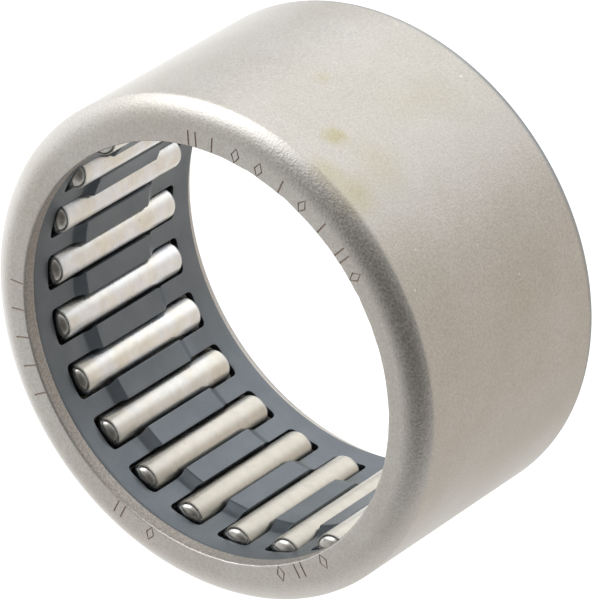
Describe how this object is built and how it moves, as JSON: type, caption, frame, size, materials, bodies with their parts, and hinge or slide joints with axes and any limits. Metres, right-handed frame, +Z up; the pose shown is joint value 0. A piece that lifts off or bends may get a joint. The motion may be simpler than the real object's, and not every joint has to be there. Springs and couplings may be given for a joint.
{
  "type": "needle roller bearing",
  "caption": "Open-ended drawn-cup needle roller bearing: a thin steel shell with turned-in lips, a pressed cage and loose needle rollers that spin as the cage turns.",
  "frame": {"origin": "middle of the bearing, on its axis, half way between the two lip faces", "axes": "+Y along the bearing's axis, from the thick front lip to the curled back lip; +Z up, so the bearing stands on its rim"},
  "size_m": [0.037, 0.02, 0.037],
  "materials": {
    "shell_steel": "satin drawn and hardened steel, warm grey, fine matt grain",
    "cage_steel": "smooth satin slate-grey treated strip",
    "roller_steel": "ground bearing steel, soft sheen"
  },
  "bodies": {
    "shell": {"shell": "shell_steel"},
    "cage": {"cage": "cage_steel"},
    "roller_01": {"roller_01": "roller_steel"},
    "roller_02": {"roller_02": "roller_steel"},
    "roller_03": {"roller_03": "roller_steel"},
    "roller_04": {"roller_04": "roller_steel"},
    "roller_05": {"roller_05": "roller_steel"},
    "roller_06": {"roller_06": "roller_steel"},
    "roller_07": {"roller_07": "roller_steel"},
    "roller_08": {"roller_08": "roller_steel"},
    "roller_09": {"roller_09": "roller_steel"},
    "roller_10": {"roller_10": "roller_steel"},
    "roller_11": {"roller_11": "roller_steel"},
    "roller_12": {"roller_12": "roller_steel"},
    "roller_13": {"roller_13": "roller_steel"},
    "roller_14": {"roller_14": "roller_steel"},
    "roller_15": {"roller_15": "roller_steel"},
    "roller_16": {"roller_16": "roller_steel"},
    "roller_17": {"roller_17": "roller_steel"},
    "roller_18": {"roller_18": "roller_steel"},
    "roller_19": {"roller_19": "roller_steel"},
    "roller_20": {"roller_20": "roller_steel"},
    "roller_21": {"roller_21": "roller_steel"},
    "roller_22": {"roller_22": "roller_steel"},
    "roller_23": {"roller_23": "roller_steel"},
    "roller_24": {"roller_24": "roller_steel"}
  },
  "joints": [
    {"name": "cage_spin", "type": "hinge", "parent": "shell", "child": "cage", "pos_m": [0, 0, 0], "axis": [0, 1, 0], "continuous": true},
    {"name": "roller_01_spin", "type": "hinge", "parent": "cage", "child": "roller_01", "pos_m": [0.01625, 0, 0], "axis": [0, 1, 0], "continuous": true},
    {"name": "roller_02_spin", "type": "hinge", "parent": "cage", "child": "roller_02", "pos_m": [0.0157, 0, 0.00421], "axis": [0, 1, 0], "continuous": true},
    {"name": "roller_03_spin", "type": "hinge", "parent": "cage", "child": "roller_03", "pos_m": [0.01407, 0, 0.00813], "axis": [0, 1, 0], "continuous": true},
    {"name": "roller_04_spin", "type": "hinge", "parent": "cage", "child": "roller_04", "pos_m": [0.01149, 0, 0.01149], "axis": [0, 1, 0], "continuous": true},
    {"name": "roller_05_spin", "type": "hinge", "parent": "cage", "child": "roller_05", "pos_m": [0.00813, 0, 0.01407], "axis": [0, 1, 0], "continuous": true},
    {"name": "roller_06_spin", "type": "hinge", "parent": "cage", "child": "roller_06", "pos_m": [0.00421, 0, 0.0157], "axis": [0, 1, 0], "continuous": true},
    {"name": "roller_07_spin", "type": "hinge", "parent": "cage", "child": "roller_07", "pos_m": [0, 0, 0.01625], "axis": [0, 1, 0], "continuous": true},
    {"name": "roller_08_spin", "type": "hinge", "parent": "cage", "child": "roller_08", "pos_m": [-0.00421, 0, 0.0157], "axis": [0, 1, 0], "continuous": true},
    {"name": "roller_09_spin", "type": "hinge", "parent": "cage", "child": "roller_09", "pos_m": [-0.00813, 0, 0.01407], "axis": [0, 1, 0], "continuous": true},
    {"name": "roller_10_spin", "type": "hinge", "parent": "cage", "child": "roller_10", "pos_m": [-0.01149, 0, 0.01149], "axis": [0, 1, 0], "continuous": true},
    {"name": "roller_11_spin", "type": "hinge", "parent": "cage", "child": "roller_11", "pos_m": [-0.01407, 0, 0.00813], "axis": [0, 1, 0], "continuous": true},
    {"name": "roller_12_spin", "type": "hinge", "parent": "cage", "child": "roller_12", "pos_m": [-0.0157, 0, 0.00421], "axis": [0, 1, 0], "continuous": true},
    {"name": "roller_13_spin", "type": "hinge", "parent": "cage", "child": "roller_13", "pos_m": [-0.01625, 0, 0], "axis": [0, 1, 0], "continuous": true},
    {"name": "roller_14_spin", "type": "hinge", "parent": "cage", "child": "roller_14", "pos_m": [-0.0157, 0, -0.00421], "axis": [0, 1, 0], "continuous": true},
    {"name": "roller_15_spin", "type": "hinge", "parent": "cage", "child": "roller_15", "pos_m": [-0.01407, 0, -0.00813], "axis": [0, 1, 0], "continuous": true},
    {"name": "roller_16_spin", "type": "hinge", "parent": "cage", "child": "roller_16", "pos_m": [-0.01149, 0, -0.01149], "axis": [0, 1, 0], "continuous": true},
    {"name": "roller_17_spin", "type": "hinge", "parent": "cage", "child": "roller_17", "pos_m": [-0.00813, 0, -0.01407], "axis": [0, 1, 0], "continuous": true},
    {"name": "roller_18_spin", "type": "hinge", "parent": "cage", "child": "roller_18", "pos_m": [-0.00421, 0, -0.0157], "axis": [0, 1, 0], "continuous": true},
    {"name": "roller_19_spin", "type": "hinge", "parent": "cage", "child": "roller_19", "pos_m": [0, 0, -0.01625], "axis": [0, 1, 0], "continuous": true},
    {"name": "roller_20_spin", "type": "hinge", "parent": "cage", "child": "roller_20", "pos_m": [0.00421, 0, -0.0157], "axis": [0, 1, 0], "continuous": true},
    {"name": "roller_21_spin", "type": "hinge", "parent": "cage", "child": "roller_21", "pos_m": [0.00813, 0, -0.01407], "axis": [0, 1, 0], "continuous": true},
    {"name": "roller_22_spin", "type": "hinge", "parent": "cage", "child": "roller_22", "pos_m": [0.01149, 0, -0.01149], "axis": [0, 1, 0], "continuous": true},
    {"name": "roller_23_spin", "type": "hinge", "parent": "cage", "child": "roller_23", "pos_m": [0.01407, 0, -0.00813], "axis": [0, 1, 0], "continuous": true},
    {"name": "roller_24_spin", "type": "hinge", "parent": "cage", "child": "roller_24", "pos_m": [0.0157, 0, -0.00421], "axis": [0, 1, 0], "continuous": true}
  ],
  "couplings": [
    {"joint": "roller_01_spin", "follows": "cage_spin", "ratio": -14},
    {"joint": "roller_02_spin", "follows": "cage_spin", "ratio": -14},
    {"joint": "roller_03_spin", "follows": "cage_spin", "ratio": -14},
    {"joint": "roller_04_spin", "follows": "cage_spin", "ratio": -14},
    {"joint": "roller_05_spin", "follows": "cage_spin", "ratio": -14},
    {"joint": "roller_06_spin", "follows": "cage_spin", "ratio": -14},
    {"joint": "roller_07_spin", "follows": "cage_spin", "ratio": -14},
    {"joint": "roller_08_spin", "follows": "cage_spin", "ratio": -14},
    {"joint": "roller_09_spin", "follows": "cage_spin", "ratio": -14},
    {"joint": "roller_10_spin", "follows": "cage_spin", "ratio": -14},
    {"joint": "roller_11_spin", "follows": "cage_spin", "ratio": -14},
    {"joint": "roller_12_spin", "follows": "cage_spin", "ratio": -14},
    {"joint": "roller_13_spin", "follows": "cage_spin", "ratio": -14},
    {"joint": "roller_14_spin", "follows": "cage_spin", "ratio": -14},
    {"joint": "roller_15_spin", "follows": "cage_spin", "ratio": -14},
    {"joint": "roller_16_spin", "follows": "cage_spin", "ratio": -14},
    {"joint": "roller_17_spin", "follows": "cage_spin", "ratio": -14},
    {"joint": "roller_18_spin", "follows": "cage_spin", "ratio": -14},
    {"joint": "roller_19_spin", "follows": "cage_spin", "ratio": -14},
    {"joint": "roller_20_spin", "follows": "cage_spin", "ratio": -14},
    {"joint": "roller_21_spin", "follows": "cage_spin", "ratio": -14},
    {"joint": "roller_22_spin", "follows": "cage_spin", "ratio": -14},
    {"joint": "roller_23_spin", "follows": "cage_spin", "ratio": -14},
    {"joint": "roller_24_spin", "follows": "cage_spin", "ratio": -14}
  ]
}
